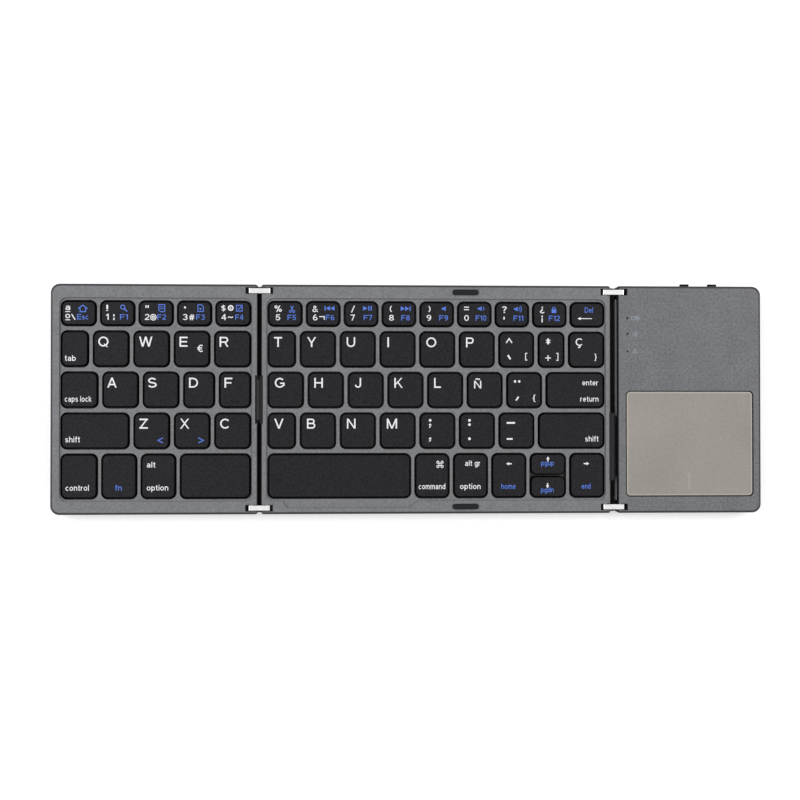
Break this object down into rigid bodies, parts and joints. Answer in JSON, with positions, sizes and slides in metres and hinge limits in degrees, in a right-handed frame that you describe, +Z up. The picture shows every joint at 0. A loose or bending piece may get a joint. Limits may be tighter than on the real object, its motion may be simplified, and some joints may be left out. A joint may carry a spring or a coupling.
{
  "type": "folding keyboard with touchpad",
  "caption": "Flat three-panel keyboard with grey frames, dark square keys and a touchpad, folding on chrome links into a small closed block.",
  "frame": {"origin": "on the table, under the middle of the opened casing's bounding box", "axes": "+X runs along the length to the touchpad panel, +Y away from the typist, +Z up out of the key tops"},
  "size_m": [0.3046, 0.099, 0.0085],
  "materials": {
    "casing": "fine sprayed mid-grey paint over moulded plastic",
    "touchpad_casing": "fine sprayed mid-grey paint over moulded plastic",
    "under_casing": "fine sprayed mid-grey paint over moulded plastic",
    "keycap": "near-black keycaps with a fine matte texture",
    "plate_steel": "punched sheet steel",
    "membrane_film": "printed polyester film",
    "dome_rubber": "silicone rubber",
    "lever_plastic": "moulded acetal levers",
    "screw_steel": "small blackened steel screws",
    "foot_rubber": "soft black rubber",
    "magnet_metal": "nickel-plated magnets",
    "link_metal": "bright polished links",
    "pin_metal": "ground steel pins",
    "soft_cover": "dark moulded bar with a fine matte texture",
    "cable_film": "amber polyimide film",
    "board": "green solder mask",
    "battery_wrap": "foil pouch cell",
    "socket_metal": "drawn steel shell",
    "switch_plastic": "moulded black plastic",
    "touch_surface": "warm grey matte touch surface",
    "light_pipe": "smoked clear plastic"
  },
  "bodies": {
    "middle_panel": {"middle_top_frame": "casing", "middle_bottom_cover": "under_casing", "middle_support_plate": "plate_steel", "middle_membrane": "membrane_film", "middle_domes": "dome_rubber", "middle_scissors": "lever_plastic", "middle_screws": "screw_steel", "middle_feet": "foot_rubber", "middle_magnets": "magnet_metal", "bumper_pads": "foot_rubber", "left_cable_cover": "soft_cover", "right_cable_cover": "soft_cover"},
    "left_links": {"left_hinge_links": "link_metal", "left_hinge_pins": "pin_metal", "left_flex_cable": "cable_film"},
    "left_panel": {"left_top_frame": "casing", "left_bottom_cover": "under_casing", "left_support_plate": "plate_steel", "left_membrane": "membrane_film", "left_domes": "dome_rubber", "left_scissors": "lever_plastic", "left_screws": "screw_steel", "left_feet": "foot_rubber", "left_magnets": "magnet_metal"},
    "right_links": {"right_hinge_links": "link_metal", "right_hinge_pins": "pin_metal", "right_flex_cable": "cable_film"},
    "right_panel": {"right_top_cover": "touchpad_casing", "right_bottom_cover": "under_casing", "right_screws": "screw_steel", "right_feet": "foot_rubber", "right_magnets": "magnet_metal", "main_board": "board", "battery": "battery_wrap", "charging_socket": "socket_metal", "board_switches": "switch_plastic", "indicator_light_pipes": "light_pipe"},
    "touchpad": {"touchpad_plate": "touch_surface", "touchpad_sensor": "board"},
    "power_knob_body": {"power_knob": "switch_plastic"},
    "pairing_button_body": {"pairing_button": "switch_plastic"},
    "left_number_keys_body": {"left_number_keys": "keycap"},
    "left_tab_key_body": {"left_tab_key": "keycap"},
    "left_upper_keys_body": {"left_upper_keys": "keycap"},
    "left_caps_key_body": {"left_caps_key": "keycap"},
    "left_home_keys_body": {"left_home_keys": "keycap"},
    "left_shift_key_body": {"left_shift_key": "keycap"},
    "left_lower_keys_body": {"left_lower_keys": "keycap"},
    "left_modifier_keys_body": {"left_modifier_keys": "keycap"},
    "left_space_key_body": {"left_space_key": "keycap"},
    "middle_number_keys_body": {"middle_number_keys": "keycap"},
    "backspace_key_body": {"backspace_key": "keycap"},
    "middle_upper_keys_body": {"middle_upper_keys": "keycap"},
    "middle_home_keys_body": {"middle_home_keys": "keycap"},
    "enter_key_body": {"enter_key": "keycap"},
    "middle_lower_keys_body": {"middle_lower_keys": "keycap"},
    "right_shift_key_body": {"right_shift_key": "keycap"},
    "middle_space_key_body": {"middle_space_key": "keycap"},
    "middle_modifier_keys_body": {"middle_modifier_keys": "keycap"},
    "arrow_keys_body": {"arrow_keys": "keycap"}
  },
  "joints": [
    {"name": "left_fold_inner", "type": "hinge", "parent": "middle_panel", "child": "left_links", "pos_m": [-0.06103, 0, 0.00505], "axis": [0, 1, 0], "range_deg": [0, 90]},
    {"name": "left_fold_outer", "type": "hinge", "parent": "left_links", "child": "left_panel", "pos_m": [-0.06753, 0, 0.00505], "axis": [0, 1, 0], "range_deg": [0, 90], "deforming": ["left_flex_cable"]},
    {"name": "right_fold_inner", "type": "hinge", "parent": "middle_panel", "child": "right_links", "pos_m": [0.08485, 0, 0.00505], "axis": [0, -1, 0], "range_deg": [0, 90]},
    {"name": "right_fold_outer", "type": "hinge", "parent": "right_links", "child": "right_panel", "pos_m": [0.09135, 0, 0.00505], "axis": [0, -1, 0], "range_deg": [0, 90], "deforming": ["right_flex_cable"]},
    {"name": "touchpad_click", "type": "hinge", "parent": "right_panel", "child": "touchpad", "pos_m": [0.121, 0.0054, 0.00635], "axis": [1, 0, 0], "range_deg": [0, 0.5], "stiffness_Nm_per_rad": 2},
    {"name": "power_slide", "type": "slide", "parent": "right_panel", "child": "power_knob_body", "axis": [1, 0, 0], "range_m": [0, 0.002]},
    {"name": "pairing_press", "type": "slide", "parent": "right_panel", "child": "pairing_button_body", "axis": [0, -1, 0], "range_m": [0, 0.0005], "stiffness_N_per_m": 200},
    {"name": "left_number_keys_press", "type": "slide", "parent": "left_panel", "child": "left_number_keys_body", "axis": [0, 0, -1], "range_m": [0, 0.0015], "stiffness_N_per_m": 100},
    {"name": "left_tab_key_press", "type": "slide", "parent": "left_panel", "child": "left_tab_key_body", "axis": [0, 0, -1], "range_m": [0, 0.0015], "stiffness_N_per_m": 100},
    {"name": "left_upper_keys_press", "type": "slide", "parent": "left_panel", "child": "left_upper_keys_body", "axis": [0, 0, -1], "range_m": [0, 0.0015], "stiffness_N_per_m": 100, "deforming": ["left_domes", "left_scissors"]},
    {"name": "left_caps_key_press", "type": "slide", "parent": "left_panel", "child": "left_caps_key_body", "axis": [0, 0, -1], "range_m": [0, 0.0015], "stiffness_N_per_m": 100},
    {"name": "left_home_keys_press", "type": "slide", "parent": "left_panel", "child": "left_home_keys_body", "axis": [0, 0, -1], "range_m": [0, 0.0015], "stiffness_N_per_m": 100},
    {"name": "left_shift_key_press", "type": "slide", "parent": "left_panel", "child": "left_shift_key_body", "axis": [0, 0, -1], "range_m": [0, 0.0015], "stiffness_N_per_m": 100},
    {"name": "left_lower_keys_press", "type": "slide", "parent": "left_panel", "child": "left_lower_keys_body", "axis": [0, 0, -1], "range_m": [0, 0.0015], "stiffness_N_per_m": 100},
    {"name": "left_modifier_keys_press", "type": "slide", "parent": "left_panel", "child": "left_modifier_keys_body", "axis": [0, 0, -1], "range_m": [0, 0.0015], "stiffness_N_per_m": 100},
    {"name": "left_space_key_press", "type": "slide", "parent": "left_panel", "child": "left_space_key_body", "axis": [0, 0, -1], "range_m": [0, 0.0015], "stiffness_N_per_m": 100},
    {"name": "middle_number_keys_press", "type": "slide", "parent": "middle_panel", "child": "middle_number_keys_body", "axis": [0, 0, -1], "range_m": [0, 0.0015], "stiffness_N_per_m": 100},
    {"name": "backspace_key_press", "type": "slide", "parent": "middle_panel", "child": "backspace_key_body", "axis": [0, 0, -1], "range_m": [0, 0.0015], "stiffness_N_per_m": 100},
    {"name": "middle_upper_keys_press", "type": "slide", "parent": "middle_panel", "child": "middle_upper_keys_body", "axis": [0, 0, -1], "range_m": [0, 0.0015], "stiffness_N_per_m": 100, "deforming": ["middle_domes", "middle_scissors"]},
    {"name": "middle_home_keys_press", "type": "slide", "parent": "middle_panel", "child": "middle_home_keys_body", "axis": [0, 0, -1], "range_m": [0, 0.0015], "stiffness_N_per_m": 100},
    {"name": "enter_key_press", "type": "slide", "parent": "middle_panel", "child": "enter_key_body", "axis": [0, 0, -1], "range_m": [0, 0.0015], "stiffness_N_per_m": 100},
    {"name": "middle_lower_keys_press", "type": "slide", "parent": "middle_panel", "child": "middle_lower_keys_body", "axis": [0, 0, -1], "range_m": [0, 0.0015], "stiffness_N_per_m": 100},
    {"name": "right_shift_key_press", "type": "slide", "parent": "middle_panel", "child": "right_shift_key_body", "axis": [0, 0, -1], "range_m": [0, 0.0015], "stiffness_N_per_m": 100},
    {"name": "middle_space_key_press", "type": "slide", "parent": "middle_panel", "child": "middle_space_key_body", "axis": [0, 0, -1], "range_m": [0, 0.0015], "stiffness_N_per_m": 100},
    {"name": "middle_modifier_keys_press", "type": "slide", "parent": "middle_panel", "child": "middle_modifier_keys_body", "axis": [0, 0, -1], "range_m": [0, 0.0015], "stiffness_N_per_m": 100},
    {"name": "arrow_keys_press", "type": "slide", "parent": "middle_panel", "child": "arrow_keys_body", "axis": [0, 0, -1], "range_m": [0, 0.0015], "stiffness_N_per_m": 100}
  ]
}
